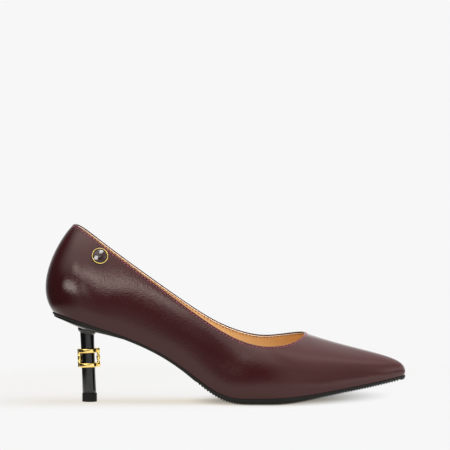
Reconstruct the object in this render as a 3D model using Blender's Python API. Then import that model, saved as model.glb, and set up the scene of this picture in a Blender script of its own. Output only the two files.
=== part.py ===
# Pointed toe pump for the right foot: a leather upper on a thin sole, with a slim post heel.
# The shoe stands on the floor (z = 0) with its toe towards +X, and its outer side faces -Y.
# Sizes are in millimetres, X from the heel's back, and MM turns them into metres when a mesh is made.

import math
from collections import namedtuple

import bmesh
import bpy
import numpy as np
from mathutils import Matrix, Vector

MM = 0.001

# Upper, insole and sole
WALL = 1.6
FIT_GAP = 0.3
INSOLE_THICKNESS = 2.4
INSOLE_FLARE = 0.3
SOLE_MARGIN = 0.6
SOLE_EDGE_TAPER = 0.8
ARCH_LIFT = 3.0
ARCH_FROM = 45.0
ARCH_TO = 122.0
ARCH_HALF_WIDTH = 20.0

# Heel: a dish under the seat, a tilted flange, a post that leans back, and its tip
DISH_CENTRE_X = 31.5
DISH_HALF_LENGTH = 26.3
DISH_HALF_WIDTH = 23.6
DISH_SQUARENESS = 2.3
DISH_RIM = 0.4
FLANGE_X = 28.4
FLANGE_TOP_Z = 50.6
FLANGE_THICKNESS = 2.7
FLANGE_TOP_RADIUS = 6.6
FLANGE_LOW_RADIUS = 5.5
FLANGE_TILT_DEG = 14.5
POST_TOP_X = 28.35
POST_TOP_Z = 49.5
POST_FOOT_X = 29.95
TIP_X = 30.1
TIP_RADIUS = 5.15
TIP_HEIGHT = 6.2
TIP_BEVEL = 0.3

# Ornament round the post: two rings and two turned posts
ORNAMENT_Z = 30.85
RING_SPACING = 10.1
RING_HEIGHT = 3.1
RING_OUTER = 6.83
RING_INNER = 5.05
RING_ROUND = 0.6
FRONT_LINK_OUT = 7.2
BACK_LINK_OUT = 6.25

# Badge on the outer side
BADGE_X = 37.5
BADGE_Z = 103.3
BADGE_RADIUS = 5.8
BADGE_RIM_WIDTH = 0.85
BADGE_RIM_HEIGHT = 1.6
BADGE_FLOOR = 0.6
DOME_HEIGHT = 1.9
DOME_EDGE = 0.6

# Fineness
SAMPLES_PER_SPAN = 5
WALL_LEVELS = 10
STRIPS_ACROSS = 4
ROUND_SEGMENTS = 32
LINK_SEGMENTS = 16
DISH_SEGMENTS = 48
DISH_RINGS = 6

# Underside of the outsole along the foot, and its thickness
SoleRow = namedtuple("SoleRow", "x bottom thick")
SOLE = [
    SoleRow(3.0, 61.6, 1.7),
    SoleRow(12.0, 59.2, 1.7),
    SoleRow(20.0, 56.7, 1.8),
    SoleRow(35.0, 51.9, 1.8),
    SoleRow(50.0, 46.8, 1.8),
    SoleRow(65.0, 40.8, 1.8),
    SoleRow(80.0, 33.3, 1.9),
    SoleRow(95.0, 23.4, 2.2),
    SoleRow(105.0, 15.4, 2.6),
    SoleRow(113.0, 9.2, 3.0),
    SoleRow(120.0, 4.8, 3.4),
    SoleRow(127.0, 1.9, 3.7),
    SoleRow(134.0, 0.4, 4.0),
    SoleRow(141.0, 0.0, 4.2),
    SoleRow(158.0, 0.0, 4.4),
    SoleRow(167.0, 0.4, 4.5),
    SoleRow(177.0, 1.7, 4.2),
    SoleRow(190.0, 4.2, 3.2),
    SoleRow(205.0, 7.0, 2.9),
    SoleRow(220.0, 9.6, 2.8),
    SoleRow(235.0, 12.6, 2.7),
    SoleRow(253.0, 16.4, 2.5),
]

# Depth of the heel's dish under the sole
DishRow = namedtuple("DishRow", "x depth")
DISH = [
    DishRow(5.0, 0.5),
    DishRow(12.0, 1.7),
    DishRow(22.0, 2.7),
    DishRow(29.0, 2.9),
    DishRow(36.0, 2.4),
    DishRow(48.0, 1.3),
    DishRow(58.0, 0.5),
]

# Sections of the upper, each from the feather edge on the sole to the topline. rise and lean hold the wall's
# direction at those two ends: an angle from level, and how far along the wall it is kept.
Section = namedtuple("Section", "feather_x feather_y top_x top_y top_z rise_deg rise lean_deg lean")
HEEL_BACK = Section(4.7, 0.0, 20.0, 0.0, 124.9, 52, 26.5, 28, 7.5)
OUTER_SIDE = [
    Section(9.5, -15.0, 24.0, -10.5, 122.7, 56, 24, 42, 11),
    Section(27.0, -24.6, 38.5, -17.6, 111.7, 68, 18, 68, 16),
    Section(52.0, -24.6, 66.0, -20.6, 91.5, 76, 14, 71, 11),
    Section(80.0, -24.3, 98.0, -23.6, 68.1, 76, 12, 72, 10),
    Section(105.0, -27.0, 119.0, -26.8, 53.8, 74, 10.5, 69, 10),
    Section(128.0, -32.6, 136.0, -28.8, 45.0, 75, 10, 58, 9),
    Section(152.0, -36.0, 151.5, -30.4, 41.2, 77, 10.5, 52, 9.5),
    Section(176.0, -33.0, 164.5, -26.8, 41.3, 80, 12, 48, 13),
    Section(203.0, -24.0, 173.5, -19.6, 43.5, 80, 13, 38, 17),
    Section(228.0, -14.8, 178.7, -11.0, 46.1, 78, 13, 26, 28),
    Section(245.5, -6.2, 180.4, -4.0, 47.6, 75, 14.3, 19.5, 42),
]
TOE_TIP = Section(250.8, 0.0, 180.7, 0.0, 48.0, 74, 14.8, 17.8, 49.5)
INNER_SIDE = [
    Section(245.5, 6.5, 180.4, 4.0, 48.4, 75, 14.3, 19.5, 42),
    Section(228.0, 16.0, 178.7, 11.0, 48.5, 78, 13, 26, 28),
    Section(203.0, 26.5, 173.5, 19.6, 47.6, 80, 13, 38, 17),
    Section(176.0, 35.0, 164.5, 26.6, 46.0, 80, 12, 48, 13),
    Section(152.0, 34.6, 151.5, 29.6, 45.0, 77, 10.5, 54, 10),
    Section(128.0, 28.6, 136.0, 28.4, 47.9, 74, 11, 62, 10),
    Section(105.0, 22.2, 119.0, 26.4, 54.9, 70, 11, 70, 10),
    Section(80.0, 21.2, 98.0, 23.4, 68.1, 70, 12, 72, 10),
    Section(52.0, 23.6, 66.0, 20.6, 91.0, 75, 14, 71, 11),
    Section(27.0, 24.6, 38.5, 17.6, 111.7, 68, 18, 68, 16),
    Section(9.5, 15.0, 24.0, 10.5, 122.9, 56, 24, 42, 11),
]
RING = [HEEL_BACK] + OUTER_SIDE + [TOE_TIP] + INNER_SIDE

# Half profiles turned about an axis
TurnedRow = namedtuple("TurnedRow", "radius height")
POST = [
    TurnedRow(4.90, TIP_HEIGHT + FIT_GAP),
    TurnedRow(4.76, 16.0),
    TurnedRow(4.70, 30.0),
    TurnedRow(4.78, 40.0),
    TurnedRow(4.95, POST_TOP_Z),
]
FRONT_LINK = [
    TurnedRow(1.25, -6.4),
    TurnedRow(1.25, -3.2),
    TurnedRow(0.80, -2.6),
    TurnedRow(0.80, -2.0),
    TurnedRow(1.25, -1.3),
    TurnedRow(1.35, 0.0),
    TurnedRow(1.25, 1.3),
    TurnedRow(0.80, 2.0),
    TurnedRow(0.80, 2.6),
    TurnedRow(1.25, 3.2),
    TurnedRow(1.25, 6.4),
]
BACK_LINK = [
    TurnedRow(1.20, -6.4),
    TurnedRow(1.20, -3.0),
    TurnedRow(1.00, -2.2),
    TurnedRow(1.20, -1.4),
    TurnedRow(1.20, 1.4),
    TurnedRow(1.00, 2.2),
    TurnedRow(1.20, 3.0),
    TurnedRow(1.20, 6.4),
]


def column(rows, name):
    return np.array([getattr(row, name) for row in rows], dtype=float)


def smooth_line(knots, values):
    # Rises and falls only where the values do, so two equal values keep a straight stretch between them
    step = np.diff(knots)
    slope = np.diff(values) / step
    tangent = np.empty(len(knots))
    tangent[0] = slope[0]
    tangent[-1] = slope[-1]
    before = 2 * step[1:] + step[:-1]
    after = step[1:] + 2 * step[:-1]
    same_way = slope[1:] * slope[:-1] > 0
    safe_before = np.where(same_way, slope[:-1], 1.0)
    safe_after = np.where(same_way, slope[1:], 1.0)
    mean = (before + after) / (before / safe_before + after / safe_after)
    tangent[1:-1] = np.where(same_way, mean, 0.0)

    def at(x):
        x = np.clip(np.asarray(x, dtype=float), knots[0], knots[-1])
        i = np.clip(np.searchsorted(knots, x, side="right") - 1, 0, len(step) - 1)
        h = step[i]
        t = (x - knots[i]) / h
        rise_part = values[i] + (values[i + 1] - values[i]) * t * t * (3 - 2 * t)
        bend_part = h * t * (1 - t) * (tangent[i] * (1 - t) - tangent[i + 1] * t)
        return rise_part + bend_part

    return at


def closed_curve(knots, length, values):
    count = len(knots)
    step = np.diff(np.append(knots, length))
    value = np.append(values, values[0])
    slope = np.diff(value) / step
    system = np.zeros((count, count))
    load = np.zeros(count)
    for i in range(count):
        system[i, i - 1] = step[i - 1]
        system[i, i] = 2 * (step[i - 1] + step[i])
        system[i, (i + 1) % count] = step[i]
        load[i] = 6 * (slope[i] - slope[i - 1])
    bend = np.linalg.solve(system, load)
    bend = np.append(bend, bend[0])

    def at(u):
        u = np.mod(np.asarray(u, dtype=float), length)
        i = np.clip(np.searchsorted(knots, u, side="right") - 1, 0, count - 1)
        h = step[i]
        a = (1 - (u - knots[i]) / h)
        b = 1 - a
        straight = a * value[i] + b * value[i + 1]
        return straight + ((a**3 - a) * bend[i] + (b**3 - b) * bend[i + 1]) * h * h / 6

    return at


sole_bottom_line = smooth_line(column(SOLE, "x"), column(SOLE, "bottom"))
sole_thick_line = smooth_line(column(SOLE, "x"), column(SOLE, "thick"))
dish_depth_line = smooth_line(column(DISH, "x"), column(DISH, "depth"))


def arch(x, y):
    along = np.clip((x - ARCH_FROM) / (ARCH_TO - ARCH_FROM), 0, 1)
    across = np.maximum(y, 0) / ARCH_HALF_WIDTH
    return ARCH_LIFT * np.sin(math.pi * along) ** 2 * across**2


def sole_bottom(x, y):
    return sole_bottom_line(x) + arch(x, y)


def sole_top(x, y):
    return sole_bottom(x, y) + sole_thick_line(x)


def seat(x, y):
    return sole_top(x, y) + FIT_GAP


def ring_knots():
    feather = np.stack([column(RING, "feather_x"), column(RING, "feather_y")], axis=1)
    top = np.stack([column(RING, "top_x"), column(RING, "top_y"), column(RING, "top_z")], axis=1)
    feather_step = np.linalg.norm(np.roll(feather, -1, axis=0) - feather, axis=1)
    top_step = np.linalg.norm(np.roll(top, -1, axis=0) - top, axis=1)
    ends = np.cumsum((feather_step + top_step) / 2)
    return np.concatenate([[0.0], ends[:-1]]), ends[-1]


KNOTS, RING_LENGTH = ring_knots()
rail = {name: closed_curve(KNOTS, RING_LENGTH, column(RING, name)) for name in Section._fields}


def ring_samples():
    ends = np.append(KNOTS[1:], RING_LENGTH)
    spans = [np.linspace(a, b, SAMPLES_PER_SPAN, endpoint=False) for a, b in zip(KNOTS, ends)]
    return np.concatenate(spans)


def outward(x_rail, y_rail, u):
    d = RING_LENGTH * 1e-4
    dx = x_rail(u + d) - x_rail(u - d)
    dy = y_rail(u + d) - y_rail(u - d)
    size = np.hypot(dx, dy)
    return dy / size, -dx / size


def feather_inset(u, inset):
    nx, ny = outward(rail["feather_x"], rail["feather_y"], u)
    return rail["feather_x"](u) - nx * inset, rail["feather_y"](u) - ny * inset


def wall_slant(u):
    return np.radians(rail["rise_deg"](u))


def upper_surface(u, v):
    fx = rail["feather_x"](u)
    fy = rail["feather_y"](u)
    feather = np.stack([fx, fy, seat(fx, fy)], axis=-1)
    top = np.stack([rail["top_x"](u), rail["top_y"](u), rail["top_z"](u)], axis=-1)
    nx, ny = outward(rail["feather_x"], rail["feather_y"], u)
    mx, my = outward(rail["top_x"], rail["top_y"], u)
    rise = wall_slant(u)
    lean = np.radians(rail["lean_deg"](u))
    rise_way = np.stack([nx * np.cos(rise), ny * np.cos(rise), np.sin(rise)], axis=-1)
    lean_way = np.stack([mx * np.cos(lean), my * np.cos(lean), -np.sin(lean)], axis=-1)
    low = feather + rise_way * rail["rise"](u)[..., None]
    high = top + lean_way * rail["lean"](u)[..., None]
    v = np.asarray(v, dtype=float)[..., None]
    w = 1 - v
    return feather * w**3 + low * 3 * w * w * v + high * 3 * w * v * v + top * v**3


def upper_normal(u, v):
    du = RING_LENGTH * 1e-4
    dv = 1e-4
    low = np.maximum(v - dv, 0)
    high = np.minimum(v + dv, 1)
    along = upper_surface(u + du, v) - upper_surface(u - du, v)
    up = upper_surface(u, high) - upper_surface(u, low)
    normal = np.cross(along, up)
    return normal / np.linalg.norm(normal, axis=-1, keepdims=True)


def make_material(name, colour, roughness, metallic):
    material = bpy.data.materials.new(name)
    material.use_nodes = True
    shader = material.node_tree.nodes["Principled BSDF"]
    shader.inputs["Base Color"].default_value = (*colour, 1.0)
    shader.inputs["Roughness"].default_value = roughness
    shader.inputs["Metallic"].default_value = metallic
    return material


def make_object(name, points, faces, material, sharp_deg=40):
    mesh = bpy.data.meshes.new(name)
    mesh.from_pydata([tuple(MM * float(c) for c in p) for p in points], [], faces)
    work = bmesh.new()
    work.from_mesh(mesh)
    bmesh.ops.recalc_face_normals(work, faces=work.faces)
    work.to_mesh(mesh)
    work.free()
    mesh.polygons.foreach_set("use_smooth", [True] * len(mesh.polygons))
    mesh.set_sharp_from_angle(angle=math.radians(sharp_deg))
    mesh.materials.append(material)
    part = bpy.data.objects.new(name, mesh)
    bpy.context.scene.collection.objects.link(part)
    return part


def join_solid(part, helper):
    helper.hide_render = True
    helper.display_type = "WIRE"
    helper.hide_set(True)
    union = part.modifiers.new(helper.name, "BOOLEAN")
    union.operation = "UNION"
    union.solver = "EXACT"
    union.object = helper


def turned(rows, centre, closed=False, count=ROUND_SEGMENTS):
    # Turns a half profile about its axis; centre gives the axis point at a height
    points = []
    for row in rows:
        cx, cy = centre(row.height)
        for k in range(count):
            angle = 2 * math.pi * k / count
            x = cx + row.radius * math.cos(angle)
            y = cy + row.radius * math.sin(angle)
            points.append((x, y, row.height))
    faces = []
    levels = len(rows)
    for j in range(levels if closed else levels - 1):
        low = j * count
        high = (j + 1) % levels * count
        for k in range(count):
            n = (k + 1) % count
            faces.append((low + k, low + n, high + n, high + k))
    if not closed:
        faces.append(tuple(reversed(range(count))))
        faces.append(tuple((levels - 1) * count + k for k in range(count)))
    return points, faces


def on_axis(height):
    return 0.0, 0.0


def post_axis(height):
    share = (height - TIP_HEIGHT) / (POST_TOP_Z - TIP_HEIGHT)
    return POST_FOOT_X + (POST_TOP_X - POST_FOOT_X) * share, 0.0


def moved(points, matrix):
    return [tuple(matrix @ Vector(p)) for p in points]


def make_upper(material):
    u = ring_samples()
    count = len(u)
    level = np.linspace(0, 1, WALL_LEVELS + 1)
    outer = []
    inner = []
    for v in level:
        vs = np.full(count, v)
        surface = upper_surface(u, vs)
        outer.append(surface)
        inner.append(surface - WALL * upper_normal(u, vs))
    x, y = feather_inset(u, WALL / np.sin(wall_slant(u)))
    inner[0] = np.stack([x, y, seat(x, y)], axis=-1)
    loop = outer + inner[::-1]
    points = np.concatenate(loop)
    faces = []
    for j in range(len(loop)):
        low = j * count
        high = (j + 1) % len(loop) * count
        for k in range(count):
            n = (k + 1) % count
            faces.append((low + k, low + n, high + n, high + k))
    return make_object("upper", points, faces, material, sharp_deg=50)


def make_plate(name, low_ring, high_ring, low_height, high_height, material):
    # A plate between two outlines, filled with strips from the outer side to the inner side
    count = len(low_ring)
    half = count // 2
    points = []
    faces = []

    def lay(ring, height):
        rows = []
        for k in range(half + 1):
            a = ring[k]
            b = ring[(count - k) % count]
            ends = k in (0, half)
            shares = [0.0] if ends else np.linspace(0, 1, STRIPS_ACROSS + 1)
            row = []
            for s in shares:
                x, y = a + (b - a) * s
                row.append(len(points))
                points.append((x, y, float(height(x, y))))
            rows.append(row)
        return rows

    def fill(rows):
        for first, second in zip(rows[:-1], rows[1:]):
            for s in range(STRIPS_ACROSS):
                corners = []
                for row, place in ((first, s), (first, s + 1), (second, s + 1), (second, s)):
                    corner = row[place if len(row) > 1 else 0]
                    if corner not in corners:
                        corners.append(corner)
                faces.append(tuple(corners))

    low_rows = lay(low_ring, low_height)
    high_rows = lay(high_ring, high_height)
    fill(low_rows)
    fill(high_rows)

    def rim(rows):
        return [row[0] for row in rows] + [row[-1] for row in reversed(rows[1:-1])]

    low_rim = rim(low_rows)
    high_rim = rim(high_rows)
    for k in range(count):
        n = (k + 1) % count
        faces.append((low_rim[k], low_rim[n], high_rim[n], high_rim[k]))
    return make_object(name, points, faces, material, sharp_deg=35)


def make_insole(material):
    u = ring_samples()
    slant = wall_slant(u)
    inset = WALL / np.sin(slant) + FIT_GAP
    flare = INSOLE_FLARE * INSOLE_THICKNESS / np.tan(slant)
    low_ring = np.stack(feather_inset(u, inset), axis=1)
    high_ring = np.stack(feather_inset(u, inset - flare), axis=1)

    def top(x, y):
        return seat(x, y) + INSOLE_THICKNESS

    return make_plate("insole", low_ring, high_ring, seat, top, material)


def make_outsole(material):
    u = ring_samples()
    high_ring = np.stack(feather_inset(u, -SOLE_MARGIN), axis=1)
    low_ring = np.stack(feather_inset(u, SOLE_EDGE_TAPER - SOLE_MARGIN), axis=1)
    return make_plate("outsole", low_ring, high_ring, sole_bottom, sole_top, material)


def dish_outline(angle):
    c = math.cos(angle)
    s = math.sin(angle)
    power = 2 / DISH_SQUARENESS
    x = DISH_HALF_LENGTH * math.copysign(abs(c) ** power, c)
    y = DISH_HALF_WIDTH * math.copysign(abs(s) ** power, s)
    return x, y


def make_dish(material):
    count = DISH_SEGMENTS
    points = []
    layers = []
    for side in ("top", "bottom"):
        rings = []
        for j in range(DISH_RINGS + 1):
            share = math.sin(math.pi / 2 * j / DISH_RINGS)
            ring = []
            for k in range(count if j else 1):
                ox, oy = dish_outline(2 * math.pi * k / count)
                x = DISH_CENTRE_X + ox * share
                y = oy * share
                z = float(sole_bottom(x, y)) - FIT_GAP
                if side == "bottom":
                    bowl = max(float(dish_depth_line(x)) - DISH_RIM, 0.0)
                    z -= DISH_RIM + bowl * math.sqrt(1 - share**4)
                ring.append(len(points))
                points.append((x, y, z))
            rings.append(ring)
        layers.append(rings)
    faces = []
    for rings in layers:
        for k in range(count):
            n = (k + 1) % count
            faces.append((rings[0][0], rings[1][k], rings[1][n]))
            for low, high in zip(rings[1:-1], rings[2:]):
                faces.append((low[k], high[k], high[n], low[n]))
    top_rim = layers[0][-1]
    low_rim = layers[1][-1]
    for k in range(count):
        n = (k + 1) % count
        faces.append((top_rim[k], top_rim[n], low_rim[n], low_rim[k]))
    return make_object("heel", points, faces, material)


def make_heel(material):
    heel = make_dish(material)
    flange_rows = [
        TurnedRow(FLANGE_LOW_RADIUS, -FLANGE_THICKNESS),
        TurnedRow(FLANGE_TOP_RADIUS, -FLANGE_THICKNESS / 3),
        TurnedRow(FLANGE_TOP_RADIUS, 1.0),
    ]
    points, faces = turned(flange_rows, on_axis)
    place = Matrix.Translation((FLANGE_X, 0, FLANGE_TOP_Z))
    tilt = Matrix.Rotation(math.radians(FLANGE_TILT_DEG), 4, "Y")
    flange = make_object("heel_flange_helper", moved(points, place @ tilt), faces, material)
    points, faces = turned(POST, post_axis)
    post = make_object("heel_post_helper", points, faces, material)
    join_solid(heel, flange)
    join_solid(heel, post)
    return heel


def make_heel_tip(material):
    rows = [
        TurnedRow(TIP_RADIUS - TIP_BEVEL, 0.0),
        TurnedRow(TIP_RADIUS, TIP_BEVEL),
        TurnedRow(TIP_RADIUS, TIP_HEIGHT - TIP_BEVEL),
        TurnedRow(TIP_RADIUS - TIP_BEVEL, TIP_HEIGHT),
    ]
    points, faces = turned(rows, lambda height: (TIP_X, 0.0))
    return make_object("heel_tip", points, faces, material, sharp_deg=30)


def ring_rows(height):
    half = RING_HEIGHT / 2
    r = RING_ROUND
    corner = r * (1 - math.sqrt(0.5))
    return [
        TurnedRow(RING_INNER, height - half),
        TurnedRow(RING_OUTER - r, height - half),
        TurnedRow(RING_OUTER - corner, height - half + corner),
        TurnedRow(RING_OUTER, height - half + r),
        TurnedRow(RING_OUTER, height + half - r),
        TurnedRow(RING_OUTER - corner, height + half - corner),
        TurnedRow(RING_OUTER - r, height + half),
        TurnedRow(RING_INNER, height + half),
    ]


def make_ornament(material):
    x, y = post_axis(ORNAMENT_Z)
    lean = math.atan2(POST_TOP_X - POST_FOOT_X, POST_TOP_Z - TIP_HEIGHT)
    place = Matrix.Translation((x, y, ORNAMENT_Z)) @ Matrix.Rotation(lean, 4, "Y")
    points, faces = turned(ring_rows(RING_SPACING / 2), on_axis, closed=True)
    ornament = make_object("heel_ornament", moved(points, place), faces, material)
    points, faces = turned(ring_rows(-RING_SPACING / 2), on_axis, closed=True)
    join_solid(ornament, make_object("ornament_ring_helper", moved(points, place), faces, material))
    links = (("front", FRONT_LINK, FRONT_LINK_OUT), ("back", BACK_LINK, -BACK_LINK_OUT))
    for name, rows, out in links:
        points, faces = turned(rows, on_axis, count=LINK_SEGMENTS)
        points = moved(points, place @ Matrix.Translation((out, 0, 0)))
        join_solid(ornament, make_object(f"ornament_{name}_helper", points, faces, material))
    return ornament


def badge_place():
    # The point of the outer wall that stands at BADGE_X and BADGE_Z, facing straight out of the wall
    u_line = np.linspace(KNOTS[1], KNOTS[4], 240)
    v_line = np.linspace(0.3, 1.0, 160)
    u, v = np.meshgrid(u_line, v_line)
    wall = upper_surface(u, v)
    miss = (wall[..., 0] - BADGE_X) ** 2 + (wall[..., 2] - BADGE_Z) ** 2
    j, i = np.unravel_index(np.argmin(miss), miss.shape)
    centre = wall[j, i]
    normal = upper_normal(u[j, i], v[j, i])
    near = np.linalg.norm(wall - centre, axis=-1) < BADGE_RADIUS
    stand_off = np.max((wall[near] - centre) @ normal) + FIT_GAP
    out = Vector(normal)
    across = Vector((0, 0, 1)).cross(out).normalized()
    up = out.cross(across)
    turn = Matrix((across, up, out)).transposed().to_4x4()
    return Matrix.Translation(Vector(centre) + out * stand_off) @ turn


def make_badge(metal, enamel):
    place = badge_place()
    inside = BADGE_RADIUS - BADGE_RIM_WIDTH
    rim_rows = [
        TurnedRow(BADGE_RADIUS - 0.2, 0.0),
        TurnedRow(BADGE_RADIUS, 0.2),
        TurnedRow(BADGE_RADIUS, BADGE_RIM_HEIGHT - 0.3),
        TurnedRow(BADGE_RADIUS - 0.3, BADGE_RIM_HEIGHT),
        TurnedRow(inside, BADGE_RIM_HEIGHT),
        TurnedRow(inside, BADGE_FLOOR),
    ]
    points, faces = turned(rim_rows, on_axis)
    make_object("badge_rim", moved(points, place), faces, metal)
    foot = BADGE_FLOOR + FIT_GAP
    edge = inside - FIT_GAP
    rise = DOME_HEIGHT - foot - DOME_EDGE
    dome_rows = [TurnedRow(edge, foot)]
    for k in range(5):
        angle = math.radians(18 * k)
        dome_rows.append(TurnedRow(edge * math.cos(angle), foot + DOME_EDGE + rise * math.sin(angle)))
    points, faces = turned(dome_rows, on_axis)
    make_object("badge_dome", moved(points, place), faces, enamel)


def centre_on_origin():
    # The middle of the floor print goes to the origin
    shown = [o for o in bpy.data.objects if o.type == "MESH" and not o.hide_render]
    corners = np.array([tuple(v.co) for o in shown for v in o.data.vertices])
    low = corners.min(axis=0)
    high = corners.max(axis=0)
    shift = Matrix.Translation((-(low[0] + high[0]) / 2, -(low[1] + high[1]) / 2, 0.0))
    for o in bpy.data.objects:
        if o.type == "MESH":
            o.data.transform(shift)


def main():
    for o in list(bpy.data.objects):
        bpy.data.objects.remove(o)
    leather = make_material("burgundy_leather", (0.060, 0.013, 0.015), 0.38, 0.0)
    lining = make_material("tan_leather", (0.60, 0.27, 0.08), 0.6, 0.0)
    rubber = make_material("sole_rubber", (0.012, 0.010, 0.009), 0.55, 0.0)
    plastic = make_material("black_gloss_plastic", (0.004, 0.004, 0.004), 0.12, 0.0)
    tip_rubber = make_material("tip_rubber", (0.014, 0.014, 0.012), 0.6, 0.0)
    gold = make_material("gold_metal", (0.83, 0.56, 0.17), 0.15, 1.0)
    enamel = make_material("dark_enamel", (0.035, 0.010, 0.012), 0.08, 0.0)
    make_upper(leather)
    make_insole(lining)
    make_outsole(rubber)
    make_heel(plastic)
    make_heel_tip(tip_rubber)
    make_ornament(gold)
    make_badge(gold, enamel)
    centre_on_origin()


main()
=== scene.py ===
import math

import bpy
import numpy as np
from mathutils import Matrix, Vector


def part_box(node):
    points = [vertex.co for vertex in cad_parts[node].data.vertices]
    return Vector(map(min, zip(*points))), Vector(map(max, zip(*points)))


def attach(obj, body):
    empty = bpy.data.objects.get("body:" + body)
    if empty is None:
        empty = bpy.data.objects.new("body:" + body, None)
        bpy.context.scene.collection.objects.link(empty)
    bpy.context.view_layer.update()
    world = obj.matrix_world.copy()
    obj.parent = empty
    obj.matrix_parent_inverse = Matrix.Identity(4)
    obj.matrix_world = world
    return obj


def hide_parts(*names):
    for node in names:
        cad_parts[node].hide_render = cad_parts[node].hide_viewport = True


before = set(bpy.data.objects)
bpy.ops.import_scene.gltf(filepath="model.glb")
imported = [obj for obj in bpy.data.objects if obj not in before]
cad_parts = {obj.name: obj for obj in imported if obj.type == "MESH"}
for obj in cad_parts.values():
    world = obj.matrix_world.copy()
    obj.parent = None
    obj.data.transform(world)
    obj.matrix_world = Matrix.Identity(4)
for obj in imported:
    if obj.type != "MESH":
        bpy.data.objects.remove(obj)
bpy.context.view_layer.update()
print("frame loaded:", ", ".join(sorted(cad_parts)))

mm = 0.001
core = 0.05  # turned parts stop this far from their axis, so that no face closes to a point

# The last that the shoe is made on. A section runs from the feather edge, on the sole, up to the topline:
# feather x, y, topline x, y, z, then the wall's angle and reach at the feather and at the topline.
lastForm = {
    "wall": 1.6,
    "fitGap": 0.3,
    "archLift": 3.0,
    "archFrom": 45.0,
    "archTo": 122.0,
    "archHalfWidth": 20.0,
    "fields": ("featherX", "featherY", "topX", "topY", "topZ", "riseDeg", "rise", "leanDeg", "lean"),
    "heelBack": [(4.7, 0.0, 20.0, 0.0, 124.9, 52, 26.5, 28, 7.5)],
    "outerSide": [
        (9.5, -15.0, 24.0, -10.5, 122.7, 56, 24, 42, 11),
        (27.0, -24.6, 38.5, -17.6, 111.7, 68, 18, 68, 16),
        (52.0, -24.6, 66.0, -20.6, 91.5, 76, 14, 71, 11),
        (80.0, -24.3, 98.0, -23.6, 68.1, 76, 12, 72, 10),
        (105.0, -27.0, 119.0, -26.8, 53.8, 74, 10.5, 69, 10),
        (128.0, -32.6, 136.0, -28.8, 45.0, 75, 10, 58, 9),
        (152.0, -36.0, 151.5, -30.4, 41.2, 77, 10.5, 52, 9.5),
        (176.0, -33.0, 164.5, -26.8, 41.3, 80, 12, 48, 13),
        (203.0, -24.0, 173.5, -19.6, 43.5, 80, 13, 38, 17),
        (228.0, -14.8, 178.7, -11.0, 46.1, 78, 13, 26, 28),
        (245.5, -6.2, 180.4, -4.0, 47.6, 75, 14.3, 19.5, 42),
    ],
    "toeTip": [(250.8, 0.0, 180.7, 0.0, 48.0, 74, 14.8, 17.8, 49.5)],
    "innerSide": [
        (245.5, 6.5, 180.4, 4.0, 48.4, 75, 14.3, 19.5, 42),
        (228.0, 16.0, 178.7, 11.0, 48.5, 78, 13, 26, 28),
        (203.0, 26.5, 173.5, 19.6, 47.6, 80, 13, 38, 17),
        (176.0, 35.0, 164.5, 26.6, 46.0, 80, 12, 48, 13),
        (152.0, 34.6, 151.5, 29.6, 45.0, 77, 10.5, 54, 10),
        (128.0, 28.6, 136.0, 28.4, 47.9, 74, 11, 62, 10),
        (105.0, 22.2, 119.0, 26.4, 54.9, 70, 11, 70, 10),
        (80.0, 21.2, 98.0, 23.4, 68.1, 70, 12, 72, 10),
        (52.0, 23.6, 66.0, 20.6, 91.0, 75, 14, 71, 11),
        (27.0, 24.6, 38.5, 17.6, 111.7, 68, 18, 68, 16),
        (9.5, 15.0, 24.0, 10.5, 122.9, 56, 24, 42, 11),
    ],
    # x, underside height, thickness of the sole
    "sole": [
        (3.0, 61.6, 1.7), (12.0, 59.2, 1.7), (20.0, 56.7, 1.8), (35.0, 51.9, 1.8), (50.0, 46.8, 1.8),
        (65.0, 40.8, 1.8), (80.0, 33.3, 1.9), (95.0, 23.4, 2.2), (105.0, 15.4, 2.6), (113.0, 9.2, 3.0),
        (120.0, 4.8, 3.4), (127.0, 1.9, 3.7), (134.0, 0.4, 4.0), (141.0, 0.0, 4.2), (158.0, 0.0, 4.4),
        (167.0, 0.4, 4.5), (177.0, 1.7, 4.2), (190.0, 4.2, 3.2), (205.0, 7.0, 2.9), (220.0, 9.6, 2.8),
        (235.0, 12.6, 2.7), (253.0, 16.4, 2.5),
    ],
}


def smoothLine(knots, values):
    # Rises and falls only where the values do, so the tread stays flat between two equal heights
    step = np.diff(knots)
    slope = np.diff(values) / step
    tangent = np.concatenate([slope[:1], np.zeros(len(knots) - 2), slope[-1:]])
    before = 2 * step[1:] + step[:-1]
    after = step[1:] + 2 * step[:-1]
    sameWay = slope[1:] * slope[:-1] > 0
    safeBefore = np.where(sameWay, slope[:-1], 1.0)
    safeAfter = np.where(sameWay, slope[1:], 1.0)
    tangent[1:-1] = np.where(sameWay, (before + after) / (before / safeBefore + after / safeAfter), 0.0)

    def at(x):
        x = np.clip(np.asarray(x, dtype=float), knots[0], knots[-1])
        i = np.clip(np.searchsorted(knots, x, side="right") - 1, 0, len(step) - 1)
        h = step[i]
        t = (x - knots[i]) / h
        straight = values[i] + (values[i + 1] - values[i]) * t * t * (3 - 2 * t)
        return straight + h * t * (1 - t) * (tangent[i] * (1 - t) - tangent[i + 1] * t)

    return at


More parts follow.
